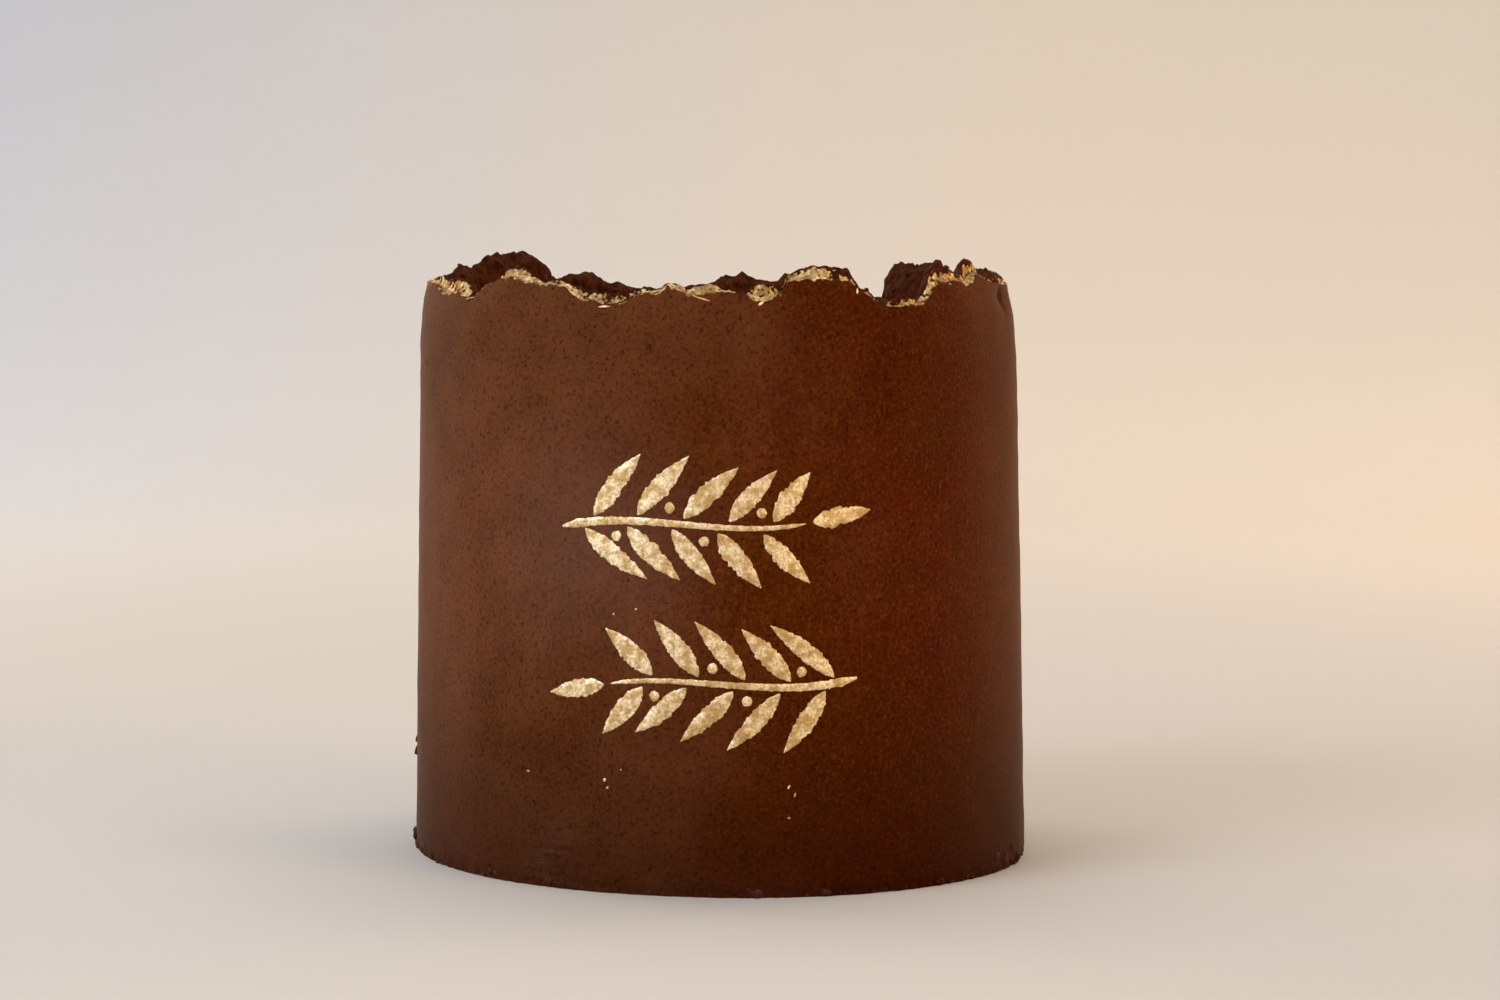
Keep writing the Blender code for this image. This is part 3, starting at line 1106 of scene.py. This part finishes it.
class CAKE_OT_ganache_coat(bpy.types.Operator):
    """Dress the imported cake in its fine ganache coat, with the torn rim and the swirled top"""

    bl_idname = "cake.ganache_coat"
    bl_label = "Ganache Coat"

    def execute(self, context):
        coat = copy_of_node("cake", "torn_rim_cake")
        cut_coat(coat)
        roughen_coat(coat, context.scene.cake_sizes.crag_depth)
        write_attribute(coat, "torn", brokenness)
        write_attribute(coat, "gilt", rubbed_leaf)
        select_only(coat)
        bpy.ops.object.shade_smooth_by_angle(angle=math.radians(50))
        coat.data.materials.append(ganache_material(context.scene.cake_colours))
        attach(coat, "root")
        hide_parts("cake")
        return {"FINISHED"}


class CAKE_OT_rim_gold_leaf(bpy.types.Operator):
    """Lay gold leaf over the torn face of the rim, in crinkled patches"""

    bl_idname = "cake.rim_gold_leaf"
    bl_label = "Rim Gold Leaf"

    def execute(self, context):
        coat = bpy.data.objects["torn_rim_cake"]
        colours = context.scene.cake_colours
        leaf = leaf_from_coat(coat, "rim_gold_leaf", context.scene.cake_sizes.leaf_thickness)
        leaf.data.materials.clear()
        gold = gold_leaf_material("worn_gold_leaf", colours.worn_pale, colours.worn_deep)
        leaf.data.materials.append(gold)
        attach(leaf, "root")
        return {"FINISHED"}


def lay_strokes(surface, strokes, name, lift, colours):
    """Brushes strokes of leaf on to the coat as one piece, whose thickness reaches into the coat."""
    leaf = join_pieces([add_stroke(surface, stroke, lift) for stroke in strokes], name)
    apply_modifier(leaf, "SOLIDIFY", thickness=1.6 * lift, offset=-1)
    select_only(leaf)
    bpy.ops.object.shade_smooth_by_angle(angle=math.radians(45))
    gold = bpy.data.materials.get("pressed_gold_leaf")
    if gold is None:
        gold = gold_leaf_material("pressed_gold_leaf", colours.gold_pale, colours.gold_deep)
    leaf.data.materials.append(gold)
    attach(leaf, "root")


class CAKE_OT_gold_sprigs(bpy.types.Operator):
    """Lay two leafy sprigs of gold leaf on the front of the cake"""

    bl_idname = "cake.gold_sprigs"
    bl_label = "Gold Sprigs"

    def execute(self, context):
        strokes = [stroke for sprig in SPRIGS for stroke in sprig_strokes(sprig)]
        lift = context.scene.cake_sizes.ornament_lift
        lay_strokes(coat_surface(), strokes, "gold_sprigs", lift, context.scene.cake_colours)
        return {"FINISHED"}


class CAKE_OT_gold_flecks(bpy.types.Operator):
    """Scatter torn scraps of gold leaf on the wall, most of them just below the lip"""

    bl_idname = "cake.gold_flecks"
    bl_label = "Gold Flecks"

    def execute(self, context):
        surface = coat_surface()
        draw = random.Random(7)
        flecks = FLECKS + loose_flecks(surface, draw)
        strokes = [fleck_stroke(fleck, draw.uniform(0, 100)) for fleck in flecks]
        lift = context.scene.cake_sizes.ornament_lift / 2
        lay_strokes(surface, strokes, "gold_flecks", lift, context.scene.cake_colours)
        return {"FINISHED"}


class CAKE_OT_crumbs(bpy.types.Operator):
    """Stick crumbs of ganache to the foot, the wall and the torn rim"""

    bl_idname = "cake.crumbs"
    bl_label = "Crumbs"

    def execute(self, context):
        surface = coat_surface()
        draw = random.Random(3)
        crumbs = join_pieces(wall_crumbs(surface, draw) + rim_crumbs(surface, draw), "ganache_crumbs")
        bpy.ops.object.shade_smooth_by_angle(angle=math.radians(60))
        crumbs.data.materials.append(crumb_material(context.scene.cake_colours))
        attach(crumbs, "root")
        return {"FINISHED"}


# Each softbox: azimuth and elevation in degrees, distance and size in metres, power in watts, and colour.
Softbox = namedtuple("Softbox", "name azimuth elevation distance size power colour")
SOFTBOXES = (
    Softbox("key_softbox", -48, 30, 1.7, 1.1, 17.5, "E8EEFF"),
    Softbox("fill_softbox", 58, 26, 1.7, 0.8, 8, "FFD9A6"),
    Softbox("top_softbox", 180, 72, 1.6, 1.2, 9, "FFFFFF"),
    Softbox("left_edge_softbox", -122, 18, 1.7, 0.8, 8, "FFE4C0"),
    Softbox("right_edge_softbox", 122, 18, 1.7, 0.8, 8.5, "FFC07A"),
)
SKY_COLOUR = "F4F6FF"
SKY_STRENGTH = 0.60

# The studio's flat floor and upright wall, as shares of its radius, and the steps of the bend between.
FLOOR_SHARE = 0.5
WALL_SHARE = 0.5
BEND_STEPS = 12
BOWL_SIDES = 96

# The camera: lens and sensor in millimetres, place in metres, and how far it looks down and leans over.
LENS = 90
SENSOR = 36
CAMERA_PLACE = (0.0068, -1.0389, 0.1703)
CAMERA_PITCH = 4.05
CAMERA_ROLL = 0.83


class CAKE_OT_studio(bpy.types.Operator):
    """Put the cake in a plain pale round studio with soft light, seen from the front"""

    bl_idname = "cake.studio"
    bl_label = "Studio"

    def execute(self, context):
        self.add_bowl(context.scene.cake_sizes.studio_radius, context.scene.cake_colours)
        for softbox in SOFTBOXES:
            self.add_softbox(softbox)
        self.add_camera(context)
        world = bpy.data.worlds.new("soft_daylight")
        world.use_nodes = True
        sky = {"Color": srgb(SKY_COLOUR), "Strength": SKY_STRENGTH}
        set_inputs(world.node_tree, world.node_tree.nodes["Background"], sky)
        context.scene.world = world
        context.scene.view_settings.view_transform = "Standard"
        return {"FINISHED"}

    def add_bowl(self, radius, colours):
        """A floor that curves up into a round wall."""
        deselect_all()
        ring = radius * FLOOR_SHARE
        bend = radius - ring
        bpy.ops.mesh.primitive_circle_add(vertices=BOWL_SIDES, radius=ring)
        bpy.ops.object.mode_set(mode="EDIT")
        bpy.ops.mesh.select_all(action="SELECT")
        height = 0.0
        for step in range(1, BEND_STEPS + 1):
            turn = math.radians(90) * step / BEND_STEPS
            next_ring = radius - bend * (1 - math.sin(turn))
            next_height = bend * (1 - math.cos(turn))
            bpy.ops.mesh.extrude_region_move(TRANSFORM_OT_translate={"value": (0, 0, next_height - height)})
            bpy.ops.transform.resize(value=(next_ring / ring, next_ring / ring, 1))
            ring = next_ring
            height = next_height
        bpy.ops.mesh.extrude_region_move(TRANSFORM_OT_translate={"value": (0, 0, radius * WALL_SHARE)})
        bpy.ops.mesh.select_all(action="DESELECT")
        bpy.ops.object.mode_set(mode="OBJECT")
        bowl = name_piece("studio_bowl")
        for vertex in bowl.data.vertices:
            vertex.select = vertex.co.z < MILLIMETRE
        bpy.ops.object.mode_set(mode="EDIT")
        bpy.ops.mesh.edge_face_add()
        bpy.ops.mesh.select_all(action="SELECT")
        bpy.ops.mesh.normals_make_consistent(inside=True)
        bpy.ops.object.mode_set(mode="OBJECT")
        bpy.ops.object.shade_smooth()
        bowl.data.materials.append(studio_material(colours))

    def add_softbox(self, softbox):
        """A round soft light that faces the middle of the cake."""
        data = bpy.data.lights.new(softbox.name, "AREA")
        data.energy = softbox.power
        data.shape = "DISK"
        data.size = softbox.size
        data.color = srgb(softbox.colour)
        light = bpy.data.objects.new(softbox.name, data)
        rise = math.radians(softbox.elevation)
        target = Vector((0, 0, CAKE_HEIGHT / 2))
        away = around(softbox.azimuth) * math.cos(rise) + Vector((0, 0, math.sin(rise)))
        light.location = target + away * softbox.distance
        light.rotation_euler = (-away).to_track_quat("-Z", "Y").to_euler()
        light.visible_camera = False
        bpy.context.scene.collection.objects.link(light)

    def add_camera(self, context):
        data = bpy.data.cameras.new("front_camera")
        data.lens = LENS
        data.sensor_width = SENSOR
        camera = bpy.data.objects.new("front_camera", data)
        camera.location = CAMERA_PLACE
        camera.rotation_mode = "ZYX"
        camera.rotation_euler = (math.radians(90 - CAMERA_PITCH), 0, math.radians(CAMERA_ROLL))
        context.scene.collection.objects.link(camera)
        context.scene.camera = camera


STEPS = ("ganache_coat", "rim_gold_leaf", "gold_sprigs", "gold_flecks", "crumbs", "studio")


class CAKE_PT_cake(bpy.types.Panel):
    """The cake's steps, sizes and colours"""

    bl_label = "Ganache Cake"
    bl_idname = "CAKE_PT_cake"
    bl_space_type = "VIEW_3D"
    bl_region_type = "UI"
    bl_category = "Cake"

    def draw(self, context):
        for step in STEPS:
            self.layout.operator("cake." + step)
        for group in (context.scene.cake_sizes, context.scene.cake_colours):
            box = self.layout.box()
            for name in group.__annotations__:
                box.prop(group, name)


CLASSES = (
    CAKE_PG_sizes,
    CAKE_PG_colours,
    CAKE_OT_ganache_coat,
    CAKE_OT_rim_gold_leaf,
    CAKE_OT_gold_sprigs,
    CAKE_OT_gold_flecks,
    CAKE_OT_crumbs,
    CAKE_OT_studio,
    CAKE_PT_cake,
)


def register():
    for kind in CLASSES:
        bpy.utils.register_class(kind)
    bpy.types.Scene.cake_sizes = bpy.props.PointerProperty(type=CAKE_PG_sizes)
    bpy.types.Scene.cake_colours = bpy.props.PointerProperty(type=CAKE_PG_colours)


def unregister():
    del bpy.types.Scene.cake_colours
    del bpy.types.Scene.cake_sizes
    for kind in reversed(CLASSES):
        bpy.utils.unregister_class(kind)


def main():
    register()
    for step in STEPS:
        getattr(bpy.ops.cake, step)()


if __name__ == "__main__":
    main()
